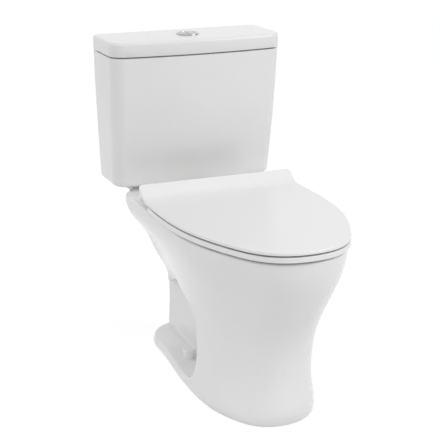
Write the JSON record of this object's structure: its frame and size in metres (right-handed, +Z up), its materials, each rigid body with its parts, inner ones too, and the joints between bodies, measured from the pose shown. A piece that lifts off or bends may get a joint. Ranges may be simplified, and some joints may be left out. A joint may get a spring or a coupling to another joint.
{
  "type": "close coupled toilet",
  "caption": "Close coupled toilet: skirted china bowl on a waisted foot, tapered tank with lid and dual flush button, slim hinged seat ring and lid, fill and flush valves inside.",
  "frame": {"origin": "on the floor under the middle of the overall box", "axes": "+Z up, -Y towards the front of the bowl, +X to the left of a person sitting on it"},
  "size_m": [0.4046, 0.724, 0.7308],
  "materials": {
    "china": "glossy white glaze",
    "seat_plastic": "polished moulding",
    "chrome": "polished",
    "valve_plastic": "moulded",
    "grey_plastic": "moulded",
    "rubber": "matt",
    "soft_white": "satin",
    "brass": "machined",
    "steel": "drawn"
  },
  "bodies": {
    "pan_and_tank": {"bowl": "china", "floor_bolt_caps": "seat_plastic", "tank": "china", "flush_valve_body": "valve_plastic", "lever_pins": "steel", "flush_valve_washer": "rubber", "flush_valve_nut": "valve_plastic", "tank_gasket": "rubber", "fill_valve_body": "valve_plastic", "fill_valve_cap": "grey_plastic", "fill_valve_washer": "rubber", "fill_valve_nut": "valve_plastic", "refill_tube": "soft_white", "refill_clip": "valve_plastic", "tank_bolts": "brass", "tank_bolt_seals": "rubber", "tank_bolt_washers": "brass", "tank_bolt_nuts": "brass", "hinge_base_left": "seat_plastic", "hinge_base_right": "seat_plastic", "hinge_pins": "steel", "seat_bolts": "steel", "seat_anchors": "rubber", "seat_anchor_nuts": "valve_plastic"},
    "tank_lid": {"tank_lid": "china", "button_bezel": "chrome", "bezel_nut": "valve_plastic", "full_spring": "steel", "half_spring": "steel"},
    "full_button": {"full_button": "chrome", "full_rod": "valve_plastic"},
    "half_button": {"half_button": "chrome", "half_rod": "valve_plastic"},
    "full_lever": {"full_lever": "valve_plastic"},
    "half_lever": {"half_lever": "valve_plastic"},
    "canister": {"flush_canister": "grey_plastic", "canister_seal": "rubber"},
    "half_sleeve": {"half_sleeve": "valve_plastic"},
    "float": {"float_cup": "grey_plastic", "float_link": "grey_plastic"},
    "float_arm": {"float_arm": "grey_plastic"},
    "seat_ring": {"seat_ring": "seat_plastic", "ring_bumpers": "soft_white"},
    "seat_lid": {"seat_lid": "seat_plastic", "lid_bumpers": "soft_white"}
  },
  "joints": [
    {"name": "seat_ring_hinge", "type": "hinge", "parent": "pan_and_tank", "child": "seat_ring", "pos_m": [0, 0.108, 0.41], "axis": [-1, 0, 0], "range_deg": [0, 98]},
    {"name": "seat_lid_hinge", "type": "hinge", "parent": "seat_ring", "child": "seat_lid", "pos_m": [0, 0.108, 0.41], "axis": [1, 0, 0], "range_deg": [-103, 0]},
    {"name": "tank_lid_lift", "type": "slide", "parent": "pan_and_tank", "child": "tank_lid", "axis": [0, 0, 1], "range_m": [0, 0.04]},
    {"name": "canister_lift", "type": "slide", "parent": "pan_and_tank", "child": "canister", "axis": [0, 0, 1], "range_m": [0, 0.0078]},
    {"name": "half_sleeve_lift", "type": "slide", "parent": "pan_and_tank", "child": "half_sleeve", "axis": [0, 0, 1], "range_m": [0, 0.0085]},
    {"name": "full_button_press", "type": "slide", "parent": "tank_lid", "child": "full_button", "axis": [0, 0, -1], "range_m": [0, 0.01], "stiffness_N_per_m": 250, "springref_m": -0.002, "deforming": ["full_spring"]},
    {"name": "half_button_press", "type": "slide", "parent": "tank_lid", "child": "half_button", "axis": [0, 0, -1], "range_m": [0, 0.01], "stiffness_N_per_m": 250, "springref_m": -0.002, "deforming": ["half_spring"]},
    {"name": "full_lever_pivot", "type": "hinge", "parent": "pan_and_tank", "child": "full_lever", "pos_m": [0.032, 0.283, 0.61], "axis": [0, -1, 0], "range_deg": [0, 25]},
    {"name": "half_lever_pivot", "type": "hinge", "parent": "pan_and_tank", "child": "half_lever", "pos_m": [-0.032, 0.283, 0.61], "axis": [0, 1, 0], "range_deg": [0, 27.5]},
    {"name": "float_slide", "type": "slide", "parent": "pan_and_tank", "child": "float", "axis": [0, 0, -1], "range_m": [0, 0.015], "stiffness_N_per_m": 60, "springref_m": -0.012},
    {"name": "float_arm_pivot", "type": "hinge", "parent": "pan_and_tank", "child": "float_arm", "pos_m": [-0.132, 0.3, 0.624], "axis": [1, 0, 0], "range_deg": [0, 18.5]}
  ],
  "couplings": [
    {"joint": "full_button_press", "follows": "canister_lift", "ratio": 1.2778},
    {"joint": "full_lever_pivot", "follows": "canister_lift", "rad_per_m": 55.556},
    {"joint": "half_button_press", "follows": "half_sleeve_lift", "ratio": 1.1667},
    {"joint": "half_lever_pivot", "follows": "half_sleeve_lift", "rad_per_m": 55.556},
    {"joint": "float_arm_pivot", "follows": "float_slide", "rad_per_m": 21.277}
  ]
}
